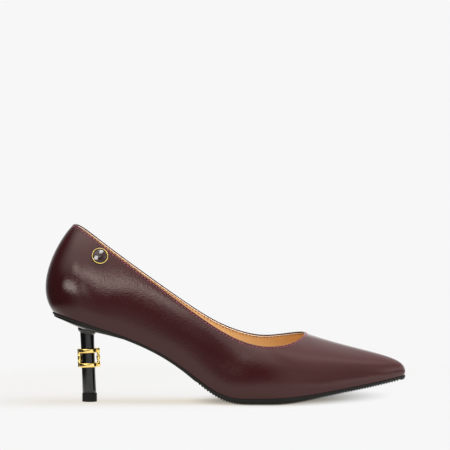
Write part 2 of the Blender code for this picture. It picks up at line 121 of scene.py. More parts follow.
def closedCurve(knots, length, values):
    # A smooth curve round the shoe through one value for each section
    count = len(knots)
    step = np.diff(np.append(knots, length))
    value = np.append(values, values[0])
    slope = np.diff(value) / step
    system = np.zeros((count, count))
    pull = np.zeros(count)
    for i in range(count):
        system[i, i - 1] = step[i - 1]
        system[i, i] = 2 * (step[i - 1] + step[i])
        system[i, (i + 1) % count] = step[i]
        pull[i] = 6 * (slope[i] - slope[i - 1])
    bend = np.linalg.solve(system, pull)
    bend = np.append(bend, bend[0])

    def at(u):
        u = np.mod(np.asarray(u, dtype=float), length)
        i = np.clip(np.searchsorted(knots, u, side="right") - 1, 0, count - 1)
        h = step[i]
        a = 1 - (u - knots[i]) / h
        b = 1 - a
        return a * value[i] + b * value[i + 1] + ((a**3 - a) * bend[i] + (b**3 - b) * bend[i + 1]) * h * h / 6

    return at


soleTable = np.array(lastForm["sole"], dtype=float)
soleLine = smoothLine(soleTable[:, 0], soleTable[:, 1])
soleThick = smoothLine(soleTable[:, 0], soleTable[:, 2])
ringRows = np.array(
    lastForm["heelBack"] + lastForm["outerSide"] + lastForm["toeTip"] + lastForm["innerSide"], dtype=float
)
featherSteps = np.linalg.norm(np.roll(ringRows[:, 0:2], -1, axis=0) - ringRows[:, 0:2], axis=1)
topSteps = np.linalg.norm(np.roll(ringRows[:, 2:5], -1, axis=0) - ringRows[:, 2:5], axis=1)
ringEnds = np.cumsum((featherSteps + topSteps) / 2)
ringKnots = np.concatenate([[0.0], ringEnds[:-1]])
ringLength = ringEnds[-1]
rail = {name: closedCurve(ringKnots, ringLength, ringRows[:, i]) for i, name in enumerate(lastForm["fields"])}


def soleBottom(x, y):
    along = np.clip((x - lastForm["archFrom"]) / (lastForm["archTo"] - lastForm["archFrom"]), 0, 1)
    across = np.maximum(y, 0) / lastForm["archHalfWidth"]
    return soleLine(x) + lastForm["archLift"] * np.sin(math.pi * along) ** 2 * across**2


def soleTop(x, y):
    return soleBottom(x, y) + soleThick(x)


def seat(x, y):
    return soleTop(x, y) + lastForm["fitGap"]


def outward(xRail, yRail, u):
    d = ringLength * 1e-4
    dx = xRail(u + d) - xRail(u - d)
    dy = yRail(u + d) - yRail(u - d)
    size = np.hypot(dx, dy)
    return dy / size, -dx / size


def featherInset(u, inset):
    nx, ny = outward(rail["featherX"], rail["featherY"], u)
    return rail["featherX"](u) - nx * inset, rail["featherY"](u) - ny * inset


def wallSlant(u):
    return np.radians(rail["riseDeg"](u))


def upperSurface(u, v):
    fx = rail["featherX"](u)
    fy = rail["featherY"](u)
    feather = np.stack([fx, fy, seat(fx, fy)], axis=-1)
    top = np.stack([rail["topX"](u), rail["topY"](u), rail["topZ"](u)], axis=-1)
    nx, ny = outward(rail["featherX"], rail["featherY"], u)
    mx, my = outward(rail["topX"], rail["topY"], u)
    rise = wallSlant(u)
    lean = np.radians(rail["leanDeg"](u))
    riseWay = np.stack([nx * np.cos(rise), ny * np.cos(rise), np.sin(rise)], axis=-1)
    leanWay = np.stack([mx * np.cos(lean), my * np.cos(lean), -np.sin(lean)], axis=-1)
    low = feather + riseWay * rail["rise"](u)[..., None]
    high = top + leanWay * rail["lean"](u)[..., None]
    v = np.asarray(v, dtype=float)[..., None]
    w = 1 - v
    return feather * w**3 + low * 3 * w * w * v + high * 3 * w * v * v + top * v**3


def unit(a):
    return a / np.linalg.norm(a, axis=-1, keepdims=True)


def upperNormal(u, v):
    du = ringLength * 1e-4
    along = upperSurface(u + du, v) - upperSurface(u - du, v)
    up = upperSurface(u, np.minimum(v + 1e-4, 1)) - upperSurface(u, np.maximum(v - 1e-4, 0))
    return unit(np.cross(along, up))


def belowTop(u, distance):
    # The wall's place at a distance in mm under the topline
    return 1 - distance / (3 * rail["lean"](u))


# The solids were centred on their floor print, so the heel tip says where the design's origin is
tipLow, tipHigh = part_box("heel_tip")
tipAxisX = 30.1
rowShift = np.array([(tipLow.x + tipHigh.x) / 2 / mm - tipAxisX, (tipLow.y + tipHigh.y) / 2 / mm, 0.0])


def wrapLoops(loops, closed=False, capped=False):
    # Quads over a stack of closed loops of points
    loops = np.asarray(loops, dtype=float)
    levels, count = loops.shape[:2]
    j = np.arange(levels if closed else levels - 1)[:, None]
    k = np.arange(count)[None, :]
    low = j * count
    high = (j + 1) % levels * count
    n = (k + 1) % count
    faces = np.stack([low + k, low + n, high + n, high + k], axis=-1).reshape(-1, 4).tolist()
    if capped:
        faces.append(list(range(count))[::-1])
        faces.append([(levels - 1) * count + i for i in range(count)])
    return loops.reshape(-1, 3), faces


def softCorners(outline, cut, steps=4, closed=False):
    # Rounds the corners of a profile, each with a short curve that starts a cut before it
    outline = [np.array(p, dtype=float) for p in outline]
    count = len(outline)
    made = [] if closed else [outline[0]]
    for i in range(count) if closed else range(1, count - 1):
        here = outline[i]
        ends = []
        for other in (outline[i - 1], outline[(i + 1) % count]):
            way = other - here
            size = np.linalg.norm(way)
            ends.append(here + way / size * min(cut, size * 0.48))
        for t in np.linspace(0, 1, steps + 1):
            made.append(ends[0] * (1 - t) ** 2 + here * 2 * t * (1 - t) + ends[1] * t * t)
    return made if closed else made + [outline[-1]]


def turnedPart(profile, segments, closed=False, axis=None):
    # Turns a half profile of radius and height; axis gives the centre's x at a height
    angle = np.linspace(0, 2 * math.pi, segments, endpoint=False)
    loops = []
    for radius, height in profile:
        centre = axis(height) if axis else 0.0
        loop = [centre + radius * np.cos(angle), radius * np.sin(angle), np.full(segments, height)]
        loops.append(np.stack(loop, axis=-1))
    return wrapLoops(loops, closed=closed, capped=not closed)


def movedPart(part, matrix):
    points, faces = part
    turn = np.array(matrix.to_3x3())
    return points @ turn.T + np.array(matrix.translation), faces


def buildPiece(name, parts, material, nodes, sharpDeg=None):
    points = []
    faces = []
    start = 0
    for partPoints, partFaces in parts:
        points.append(partPoints)
        faces.extend([[start + i for i in face] for face in partFaces])
        start += len(partPoints)
    points = (np.concatenate(points) + rowShift) * mm
    mesh = bpy.data.meshes.new(name)
    mesh.from_pydata(points.tolist(), [], faces)
    mesh.polygons.foreach_set("use_smooth", [True] * len(mesh.polygons))
    if sharpDeg:
        mesh.set_sharp_from_angle(angle=math.radians(sharpDeg))
    mesh.materials.append(material)
    piece = bpy.data.objects.new(name, mesh)
    bpy.context.scene.collection.objects.link(piece)
    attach(piece, "root")
    if nodes:
        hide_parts(*nodes)
    print("built", name, sum(len(f) - 2 for f in faces), "triangles")
    return piece


def hexColour(text):
    parts = [int(text[i:i + 2], 16) / 255 for i in (1, 3, 5)]
    return [c / 12.92 if c <= 0.04045 else ((c + 0.055) / 1.055) ** 2.4 for c in parts] + [1.0]


def addNode(tree, kind, inputs=None, **settings):
    # Links a socket, or the first output of a node, and sets anything else
    node = tree.nodes.new(kind)
    for name, value in settings.items():
        setattr(node, name, value)
    for name, value in (inputs or {}).items():
        if isinstance(value, bpy.types.Node):
            value = value.outputs[0]
        if isinstance(value, bpy.types.NodeSocket):
            tree.links.new(value, node.inputs[name])
        else:
            node.inputs[name].default_value = value
    return node


def startMaterial(name, roughness, metallic=0.0, ior=1.5):
    material = bpy.data.materials.new(name)
    material.use_nodes = True
    tree = material.node_tree
    shader = tree.nodes["Principled BSDF"]
    shader.inputs["Roughness"].default_value = roughness
    shader.inputs["Metallic"].default_value = metallic
    if not metallic:
        shader.inputs["IOR"].default_value = ior
    place = addNode(tree, "ShaderNodeTexCoord").outputs["Object"]
    return material, tree, shader, place


def dressShader(tree, shader, tones, factor, gloss=None, relief=None):
    # Two tones mixed by a pattern. Gloss is a pattern, two roughnesses and the pattern's top value;
    # relief is a height, a strength and a depth in mm.
    tone = addNode(tree, "ShaderNodeMix", {
        "Factor": factor, 6: hexColour(tones[0]), 7: hexColour(tones[1]),
    }, data_type="RGBA")
    tree.links.new(tone.outputs[2], shader.inputs["Base Color"])
    if gloss:
        pattern, (low, high), top = gloss
        rough = addNode(tree, "ShaderNodeMapRange",
                        {"Value": pattern, "From Max": top, "To Min": low, "To Max": high})
        tree.links.new(rough.outputs[0], shader.inputs["Roughness"])
    if relief:
        height, strength, depth = relief
        bump = addNode(tree, "ShaderNodeBump",
                       {"Height": height, "Strength": strength, "Distance": depth * mm})
        tree.links.new(bump.outputs[0], shader.inputs["Normal"])


def perMm(size):
    return 1 / (size * mm)


# Nappa: chrome tanned calf with a smooth semi-matt finish. Fine pores, soft highlights, faint clouding.
nappa = {
    "tones": ("#2c0e11", "#351315"), "cloud": 34.0,
    "grain": 1.1,  # real grain is nearer 0.4 mm: drawn coarser so that it shows
    "grainTop": 0.8, "pore": 0.7, "pucker": 9.0, "puckerShare": 1.2,
    "strength": 0.5, "depth": 0.08, "gloss": (0.1, 0.15),
    "shine": "#fff0e6",  # highlights tinted warm: painted warm light on the reflections
}


def burgundyNappa():
    material, tree, shader, place = startMaterial("burgundyNappaLeather", 0.45, ior=1.4)
    # Painted warm light: the leather's highlights are tinted
    shader.inputs["Specular Tint"].default_value = hexColour(nappa["shine"])
    cloud = addNode(tree, "ShaderNodeTexNoise",
                    {"Vector": place, "Scale": perMm(nappa["cloud"]), "Detail": 3.0, "Roughness": 0.55})
    cells = addNode(tree, "ShaderNodeTexVoronoi",
                    {"Vector": place, "Scale": perMm(nappa["grain"]), "Randomness": 1.0}, feature="SMOOTH_F1")
    pores = addNode(tree, "ShaderNodeTexNoise",
                    {"Vector": place, "Scale": perMm(nappa["pore"]), "Detail": 2.0, "Roughness": 0.6})
    puckers = addNode(tree, "ShaderNodeTexNoise",
                      {"Vector": place, "Scale": perMm(nappa["pucker"]), "Detail": 1.0})
    fine = addNode(tree, "ShaderNodeMath", {0: cells, 1: pores}, operation="ADD")
    height = addNode(tree, "ShaderNodeMath",
                     {0: puckers, 1: nappa["puckerShare"], 2: fine}, operation="MULTIPLY_ADD")
    dressShader(tree, shader, nappa["tones"], cloud, (cells, nappa["gloss"], nappa["grainTop"]),
                (height, nappa["strength"], nappa["depth"]))
    return material


# Pigskin lining: vegetable tanned, unfinished. Dull, with scattered follicle pits and a warm uneven tan.
pigskin = {
    "lining": ("#d2a76b", "#dfbb86"), "edge": ("#dcc4a8", "#ebdac4"), "sock": ("#ad8757", "#be9c70"),
    "cloud": 14.0, "pit": 1.1, "pitRim": (0.05, 0.22), "nap": 0.35, "strength": 0.3, "depth": 0.08,
    "gloss": (0.52, 0.74),
}


def tanPigskin(name, tones):
    material, tree, shader, place = startMaterial(name, 0.62)
    cloud = addNode(tree, "ShaderNodeTexNoise",
                    {"Vector": place, "Scale": perMm(pigskin["cloud"]), "Detail": 4.0, "Roughness": 0.6})
    pits = addNode(tree, "ShaderNodeTexVoronoi", {"Vector": place, "Scale": perMm(pigskin["pit"])})
    nap = addNode(tree, "ShaderNodeTexNoise",
                  {"Vector": place, "Scale": perMm(pigskin["nap"]), "Detail": 3.0, "Roughness": 0.6})
    deep, rim = pigskin["pitRim"]
    pitEdge = addNode(tree, "ShaderNodeMapRange", {"Value": pits, "From Min": deep, "From Max": rim})
    mixed = addNode(tree, "ShaderNodeMath", {0: cloud, 1: pitEdge}, operation="MULTIPLY")
    height = addNode(tree, "ShaderNodeMath", {0: pitEdge, 1: nap}, operation="ADD")
    dressShader(tree, shader, tones, mixed, (nap, pigskin["gloss"], 1.0),
                (height, pigskin["strength"], pigskin["depth"]))
    return material


# Polyester sewing thread: three plies laid in a twist, with a slight silky shine.
thread = {
    "top": ("#520a20", "#8c1a3c"), "inside": ("#6e452a", "#96683f"), "ply": 0.42, "sheen": 0.3,
    "strength": 0.5, "depth": 0.05,
}


def sewingThread(name, tones):
    material, tree, shader, place = startMaterial(name, 0.5)
    shader.inputs["Sheen Weight"].default_value = thread["sheen"]
    plies = addNode(tree, "ShaderNodeTexWave", {
        "Vector": place, "Scale": perMm(thread["ply"]) / 6.28, "Distortion": 1.5, "Detail": 1.0,
    }, wave_type="BANDS", bands_direction="DIAGONAL").outputs["Fac"]
    dressShader(tree, shader, tones, plies, relief=(plies, thread["strength"], thread["depth"]))
    return material


# Moulded thermoplastic rubber: a dull even black with a dusty, finely pitted skin.
rubber = {
    "sole": ("#0b0b09", "#191916"), "soleGloss": (0.5, 0.66), "tip": ("#0a0a08", "#131310"),
    "tipGloss": (0.6, 0.78), "shine": 0.25,  # a dull skin, dusted with talc and wiped
    "dust": 9.0, "pit": 0.5, "strength": 0.25, "depth": 0.05,
}


def mouldedRubber(name, tones, gloss):
    material, tree, shader, place = startMaterial(name, sum(gloss) / 2, ior=1.4)
    shader.inputs["Specular IOR Level"].default_value = rubber["shine"]
    dust = addNode(tree, "ShaderNodeTexNoise",
                   {"Vector": place, "Scale": perMm(rubber["dust"]), "Detail": 5.0, "Roughness": 0.65})
    pits = addNode(tree, "ShaderNodeTexNoise",
                   {"Vector": place, "Scale": perMm(rubber["pit"]), "Detail": 2.0})
    dressShader(tree, shader, tones, dust, (dust, gloss, 1.0), (pits, rubber["strength"], rubber["depth"]))
    return material


# Lacquered ABS: injection moulded, sprayed black and buffed. Mirror-like with a faint orange peel.
lacquer = {
    "tones": ("#050505", "#0b0b0a"), "peel": 1.6, "gloss": (0.06, 0.12), "strength": 0.15, "depth": 0.012,
}


def lacqueredAbs():
    material, tree, shader, place = startMaterial("blackLacqueredAbs", 0.09, ior=1.53)
    peel = addNode(tree, "ShaderNodeTexNoise",
                   {"Vector": place, "Scale": perMm(lacquer["peel"]), "Detail": 2.0})
    dressShader(tree, shader, lacquer["tones"], peel, (peel, lacquer["gloss"], 1.0),
                (peel, lacquer["strength"], lacquer["depth"]))
    return material


# Gold plated zinc alloy: die cast, polished and plated. A bright mirror with hairline polishing marks.
plating = {
    "tones": ("#e7c467", "#f4d98c"), "patch": 6.0, "hairline": 0.4, "stretch": (0.2, 0.2, 1.0),
    "gloss": (0.05, 0.1),
}


def goldPlate():
    material, tree, shader, place = startMaterial("goldPlatedZinc", 0.14, metallic=1.0)
    patch = addNode(tree, "ShaderNodeTexNoise",
                    {"Vector": place, "Scale": perMm(plating["patch"]), "Detail": 3.0})
    along = addNode(tree, "ShaderNodeMapping", {"Vector": place, "Scale": plating["stretch"]})
    hairline = addNode(tree, "ShaderNodeTexNoise",
                       {"Vector": along, "Scale": perMm(plating["hairline"]), "Detail": 2.0})
    dressShader(tree, shader, plating["tones"], patch, (hairline, plating["gloss"], 1.0))
    return material


# Stoved enamel under a clear domed drop: deep wine brown, wet looking, with sharp highlights.
enamel = {"tones": ("#1a0806", "#2c0f0c"), "swirl": 3.0, "gloss": (0.04, 0.09)}


def domeEnamel():
    material, tree, shader, place = startMaterial("wineEnamelDrop", 0.06, ior=1.45)
    swirl = addNode(tree, "ShaderNodeTexNoise",
                    {"Vector": place, "Scale": perMm(enamel["swirl"]), "Detail": 2.0})
    dressShader(tree, shader, enamel["tones"], swirl, (swirl, enamel["gloss"], 1.0))
    return material


leatherFinish = burgundyNappa()
liningFinish = tanPigskin("tanPigskinLining", pigskin["lining"])
edgeFinish = tanPigskin("rawPigskinEdge", pigskin["edge"])
sockFinish = tanPigskin("tanPigskinSock", pigskin["sock"])
topThreadFinish = sewingThread("wineSewingThread", thread["top"])
inThreadFinish = sewingThread("tanSewingThread", thread["inside"])
soleFinish = mouldedRubber("blackSoleRubber", rubber["sole"], rubber["soleGloss"])
tipFinish = mouldedRubber("blackTipRubber", rubber["tip"], rubber["tipGloss"])
heelFinish = lacqueredAbs()
goldFinish = goldPlate()
enamelFinish = domeEnamel()
print("finishes ready")

# Upper: the outer leather is folded over the topline and turned in; the lining is sewn to it below the fold
upperCut = {
    "samples": 640, "levels": 46, "edgeZone": 6.0, "foldWidth": 0.9, "foldHeight": 0.6, "turnIn": 0.2,
    "turnTuck": (0.15, 0.2), "fleshDown": 1.0,
    "edgeRows": (5.2, 4.5, 3.9, 3.4, 2.9, 2.5, 2.2, 1.95, 1.75, 1.55, 1.4, 1.25, 1.1, 0.95, 0.8, 0.65),
    "seamDown": 1.5, "seamWidth": 0.34, "seamDepth": 0.14, "puff": 0.08, "puffDown": 0.75, "puffWidth": 0.35,
    "puffOver": 0.8, "tuckRadius": 0.26, "tuckFlat": 0.85, "tuckIn": 1.2, "tuckDrop": 0.2, "skin": 0.8,
    "liningEdge": 0.75, "liningStep": 0.4, "liningGrow": 5.0, "liningDip": 0.1, "liningBehind": 0.15,
    # lining rows over its cut edge, and the pale strip along it: down from the edge, in from the wall
    "cutEdge": [(0.02, -0.38), (0.0, -0.2), (0.06, -0.05)],
    "paleEdge": [(0.0, -0.38), (-0.03, -0.2), (0.03, -0.02), (0.12, 0.03), (0.22, 0.04), (0.3, 0.0)],
}


def wallLoop(u, distance, offset):
    v = belowTop(u, distance)
    return upperSurface(u, v) - upperNormal(u, v) * offset


def makeUpperLeather():
    cut = upperCut
    u = np.linspace(0, ringLength, cut["samples"], endpoint=False)
    nx, ny = outward(rail["featherX"], rail["featherY"], u)
    out = np.stack([nx, ny, np.zeros_like(nx)], axis=-1)
    feather = upperSurface(u, np.zeros_like(u))
    down = np.array([0.0, 0.0, -1.0])
    loops = []
    # Lasting edge: tucked under towards the sole
    loops.append(feather - out * cut["tuckIn"] + down * cut["tuckDrop"])
    for deg in (90, 60, 30):
        a = math.radians(deg)
        r = cut["tuckRadius"]
        loops.append(feather - out * r * (1 - math.cos(a)) + down * r * cut["tuckFlat"] * math.sin(a))
    edge = belowTop(u, cut["edgeZone"])
    for share in np.linspace(0, 1, cut["levels"]):
        loops.append(upperSurface(u, edge * share))
    for distance in cut["edgeRows"]:
        dip = cut["seamDepth"] * math.exp(-(((distance - cut["seamDown"]) / cut["seamWidth"]) ** 2))
        puff = cut["puff"] * math.exp(-(((distance - cut["puffDown"]) / cut["puffWidth"]) ** 2))
        loops.append(wallLoop(u, distance, dip - puff))
    # Fold over the topline
    v = belowTop(u, cut["foldHeight"])
    normal = upperNormal(u, v)
    proud = cut["puff"] * cut["puffOver"]
    outerFoot = upperSurface(u, v) + normal * proud
    up = unit(upperSurface(u, np.ones_like(u)) - upperSurface(u, v))
    half = (cut["foldWidth"] + proud) / 2
    middle = outerFoot - normal * half
    for deg in np.linspace(0, 180, 11):
        a = math.radians(deg)
        loops.append(middle + normal * half * math.cos(a) + up * cut["foldHeight"] * math.sin(a))
    turnEnd = cut["foldHeight"] + cut["turnIn"]
    loops.append(wallLoop(u, turnEnd, cut["foldWidth"]))
    tuckDown, tuckBack = cut["turnTuck"]
    loops.append(wallLoop(u, turnEnd + tuckDown, cut["foldWidth"] - tuckBack))
    # Flesh side, hidden by the lining
    low = belowTop(u, turnEnd + cut["fleshDown"])
    for share in np.linspace(1, 0, 9):
        loops.append(upperSurface(u, low * share) - upperNormal(u, low * share) * cut["skin"])
    part = wrapLoops(loops, closed=True)
    return buildPiece("upperLeather", [part], leatherFinish, ["upper"])


def liningOffset(distance):
    grow = np.clip((distance - upperCut["liningEdge"]) / upperCut["liningGrow"], 0, 1)
    full = lastForm["wall"]
    start = upperCut["foldWidth"] + upperCut["liningStep"]
    return start + (full - start) * grow * grow * (3 - 2 * grow)


def makeUpperLining():
    cut = upperCut
    u = np.linspace(0, ringLength, cut["samples"], endpoint=False)
    loops = []
    # Hidden side first, from the sole up, then over the cut edge and down the side that shows
    top = belowTop(u, cut["liningEdge"] + 0.2)
    for share in np.linspace(0, 1, 7):
        behind = cut["skin"] + cut["liningBehind"]
        loops.append(upperSurface(u, top * share) - upperNormal(u, top * share) * behind)
    edgeOffset = float(liningOffset(cut["liningEdge"]))
    for drop, inward in cut["cutEdge"]:
        loops.append(wallLoop(u, cut["liningEdge"] + drop, edgeOffset + inward))
    for distance in cut["edgeRows"][-3::-1]:
        dip = cut["liningDip"] * math.exp(-(((distance - cut["seamDown"]) / cut["seamWidth"]) ** 2))
        loops.append(wallLoop(u, distance, float(liningOffset(distance)) - dip))
    edge = belowTop(u, cut["edgeZone"])
    for share in np.linspace(1, 0, 34):
        v = edge * share
        inside = upperSurface(u, v) - upperNormal(u, v) * lastForm["wall"]
        if share == 0:
            x, y = featherInset(u, lastForm["wall"] / np.sin(wallSlant(u)))
            inside = np.stack([x, y, seat(x, y)], axis=-1)
        loops.append(inside)
    part = wrapLoops(loops, closed=True)
    buildPiece("upperLining", [part], liningFinish, ["upper"])
    # The skived edge is left undyed and shows as a pale line
    loops = [wallLoop(u, cut["liningEdge"] + d, edgeOffset + o) for d, o in cut["paleEdge"]]
    buildPiece("liningEdge", [wrapLoops(loops)], edgeFinish, [])


# Topstitching: one lockstitch row under the topline, wine thread outside and tan thread on the lining
stitching = {
    "pitch": 2.5, "length": 1.65, "radius": 0.36, "lift": 0.12, "slant": 0.1, "around": 7, "along": 7,
    "endDip": 2.6, "endThin": 0.8,  # how far the ends of a stitch sink and thin, into their holes
}


def stitchRow(offset, lift):
    cut = stitching
    seam = upperCut["seamDown"]
    dense = np.linspace(0, ringLength, 4001)
    line = wallLoop(dense, seam, offset)
    runs = np.concatenate([[0.0], np.cumsum(np.linalg.norm(np.diff(line, axis=0), axis=1))])
    count = int(round(runs[-1] / cut["pitch"]))
    centres = (np.arange(count) + 0.5) * runs[-1] / count
    share = np.linspace(-1, 1, cut["along"])
    u = np.interp((centres[:, None] + share[None, :] * cut["length"] / 2).ravel(), runs, dense)
    share = np.tile(share, count)
    v = belowTop(u, seam + share * cut["slant"])
    normal = upperNormal(u, v) * (1 if lift > 0 else -1)
    base = upperSurface(u, v) - upperNormal(u, v) * offset
    ahead = unit(wallLoop(u + 0.05, seam, offset) - wallLoop(u - 0.05, seam, offset))
    side = np.cross(ahead, normal)
    height = abs(lift) * (1 - cut["endDip"] * share**4)
    thick = cut["radius"] * np.sqrt(np.maximum(1 - cut["endThin"] * share**4, 0.05))
    rings = []
    for a in np.linspace(0, 2 * math.pi, cut["around"], endpoint=False):
        up = (height + thick * math.sin(a))[:, None]
        rings.append(base + normal * up + side * (thick * math.cos(a))[:, None])
    rings = np.stack(rings, axis=1).reshape(count, cut["along"], cut["around"], 3)
    return [wrapLoops(stitch, capped=True) for stitch in rings]


def makeStitches():
    outside = stitchRow(upperCut["seamDepth"], stitching["lift"])
    buildPiece("toplineStitches", outside, topThreadFinish, [])
    onLining = float(liningOffset(upperCut["seamDown"])) - upperCut["liningDip"]
    inside = stitchRow(onLining, -stitching["lift"])
    buildPiece("liningStitches", inside, inThreadFinish, [])


def plateRows(ring, height, strips):
    # Rows of points from the outer side to the inner side of a closed outline
    half = len(ring) // 2
    rows = []
    for k in range(half + 1):
        a = ring[k]
        b = ring[(len(ring) - k) % len(ring)]
        share = np.linspace(0, 1, strips + 1)[:, None]
        flat = a + (b - a) * share
        rows.append(np.column_stack([flat, height(flat[:, 0], flat[:, 1], np.abs(2 * share[:, 0] - 1))]))
    return np.array(rows)


def sheetPart(rows, flip=False):
    # An open sheet over rows of points; the first and last row close up to a point
    levels, count = rows.shape[:2]
    faces = []
    for j in range(levels - 1):
        for s in range(count - 1):
            face = [j * count + s, j * count + s + 1, (j + 1) * count + s + 1, (j + 1) * count + s]
            if j == 0:
                face = [face[0], face[2], face[3]]
            elif j == levels - 2:
                face = face[:3]
            faces.append(face[::-1] if flip else face)
    return rows.reshape(-1, 3), faces


# Sock: thin lining leather over a foam pad on the insole board, with a rolled edge along the wall
sock = {
    "samples": 480, "strips": 22, "thickness": 2.4, "flare": 0.3, "edgeRound": 0.7, "crown": 0.25,
    "underlap": 2.0,
}


def makeSock():
    u = np.linspace(0, ringLength, sock["samples"], endpoint=False)
    slant = wallSlant(u)
    inset = lastForm["wall"] / np.sin(slant) + lastForm["fitGap"]
    flare = sock["flare"] * sock["thickness"] / np.tan(slant)

    def ringAt(extra, rise):
        share = rise / sock["thickness"]
        x, y = featherInset(u, inset - flare * share + extra)
        return np.stack([x, y, seat(x, y) + rise], axis=-1)

    t = sock["thickness"]
    r = sock["edgeRound"]
    loops = [ringAt(sock["underlap"], 0.0), ringAt(0.0, 0.0), ringAt(0.0, t - r)]
    for deg in (30, 60, 90):
        a = math.radians(deg)
        loops.append(ringAt(r * (1 - math.cos(a)), t - r + r * math.sin(a)))
    rim = loops[-1][:, :2]

    def crowned(x, y, off):
        return seat(x, y) + t + sock["crown"] * (1 - off**3)

    top = sheetPart(plateRows(rim, crowned, sock["strips"]))
    return buildPiece("sockLining", [wrapLoops(loops), top], sockFinish, ["insole"])


# Sole: moulded unit with a rounded edge, smooth under the waist and cross-ribbed under the forefoot
soleUnit = {
    "samples": 640, "strips": 18, "margin": 0.6, "taper": 0.8, "edgeRound": 0.45,
    "topInset": 1.5, "bulge": 0.08, "lowOut": 0.1,
    "ribFrom": 107.0, "ribTo": 247.0, "ribPitch": 1.9, "ribWidth": 1.15, "ribHeight": 0.65, "ribInset": 0.12,
    "ribLead": 3.0, "ribTail": 1.5,
    "ribRoot": 1.25, "rib": [(-0.5, 0.9), (-0.38, 0.0), (0.38, 0.0), (0.5, 0.9)], "ribRound": 0.12,
}


def ribbedShare(x):
    lead, tail = soleUnit["ribLead"], soleUnit["ribTail"]
    start = np.clip((x - soleUnit["ribFrom"] + lead) / lead, 0, 1)
    end = np.clip((soleUnit["ribTo"] + tail - x) / tail, 0, 1)
    return start * end


def treadLevel(x, y):
    return soleBottom(x, y) + soleUnit["ribHeight"] * ribbedShare(x)


def makeSole():
    unitForm = soleUnit
    u = np.linspace(0, ringLength, unitForm["samples"], endpoint=False)
    r = unitForm["edgeRound"]
    lowInset = unitForm["taper"] - unitForm["margin"]

    def ringAt(inset, level):
        x, y = featherInset(u, inset)
        low = treadLevel(x, y)
        return np.stack([x, y, low + (soleTop(x, y) - low) * level(x)], axis=-1)

    loops = [ringAt(unitForm["topInset"], lambda x: np.ones_like(x))]
    for deg in (90, 60, 30, 0):
        a = math.radians(deg)
        inset = -unitForm["margin"] + r * (1 - math.cos(a))
        loops.append(ringAt(inset, lambda x: 1 - r * (1 - math.sin(a)) / soleThick(x)))
    middle = (lowInset - unitForm["margin"]) / 2 - unitForm["bulge"]
    loops.append(ringAt(middle, lambda x: np.full_like(x, 0.5)))
    for deg in (0, 30, 60, 90):
        a = math.radians(deg)
        inset = lowInset - unitForm["lowOut"] + r * (1 - math.cos(a))
        loops.append(ringAt(inset, lambda x: r * (1 - math.sin(a)) / soleThick(x)))
    top = sheetPart(plateRows(loops[0][:, :2], lambda x, y, off: soleTop(x, y), 4))
    tread = plateRows(loops[-1][:, :2], lambda x, y, off: treadLevel(x, y), unitForm["strips"])
    under = sheetPart(tread, flip=True)
    half = unitForm["samples"] // 2
    outline = loops[-2]
    outer = outline[: half + 1]
    inner = np.concatenate([outline[half:], outline[:1]])[::-1]
    ribs = []
    share = np.linspace(0, 1, 13)
    profile = softCorners(unitForm["rib"], unitForm["ribRound"], steps=2)
    for x in np.arange(unitForm["ribFrom"], unitForm["ribTo"], unitForm["ribPitch"]):
        ribLoops = []
        for dx, dz in profile:
            px = x + dx * unitForm["ribWidth"]
            y0 = np.interp(px, outer[:, 0], outer[:, 1]) + unitForm["ribInset"]
            y1 = np.interp(px, inner[:, 0], inner[:, 1]) - unitForm["ribInset"]
            y = y0 + (y1 - y0) * share
            z = soleBottom(np.full_like(y, px), y) + dz * unitForm["ribHeight"] * unitForm["ribRoot"]
            ribLoops.append(np.stack([np.full_like(y, px), y, z], axis=-1))
        across = np.array(ribLoops).transpose(1, 0, 2)
        ribs.append(wrapLoops(across, capped=True))
    return buildPiece("soleUnit", [wrapLoops(loops), top, under] + ribs, soleFinish, ["outsole"],
                      sharpDeg=42)


# Heel: shallow dish under the seat, a tilted flange and a post that leans back a little, sprayed as one
heelForm = {
    "dishCentreX": 31.5, "dishHalfLength": 26.3, "dishHalfWidth": 23.6, "dishSquareness": 2.3, "dishRim": 0.4,
    "dishDepth": [(5.0, 0.5), (12.0, 1.7), (22.0, 2.7), (29.0, 2.9), (36.0, 2.4), (48.0, 1.3), (58.0, 0.5)],
    "dishSegments": 120, "dishRings": 22,
    "flangeX": 28.4, "flangeTopZ": 50.6, "flangeTilt": 14.5,
    "flange": [(0.0, -2.7), (5.5, -2.7), (6.6, -0.9), (6.6, 1.0), (0.0, 1.0)],
    "postTopX": 28.35, "postTopZ": 49.5, "postFootX": 29.95,
    "post": [(4.90, 6.5), (4.76, 16.0), (4.70, 30.0), (4.78, 40.0), (4.95, 49.5)],
    "tipHeight": 6.2, "tipRadius": 5.15, "segments": 96,
    "flangeRound": 0.45, "postBevel": 0.25, "tipRound": 0.3,
    "tipGroove": (0.75, 0.66, 0.57), "grooveDepth": 0.12,
}


def postAxis(height):
    share = (height - heelForm["tipHeight"]) / (heelForm["postTopZ"] - heelForm["tipHeight"])
    return heelForm["postFootX"] + (heelForm["postTopX"] - heelForm["postFootX"]) * share


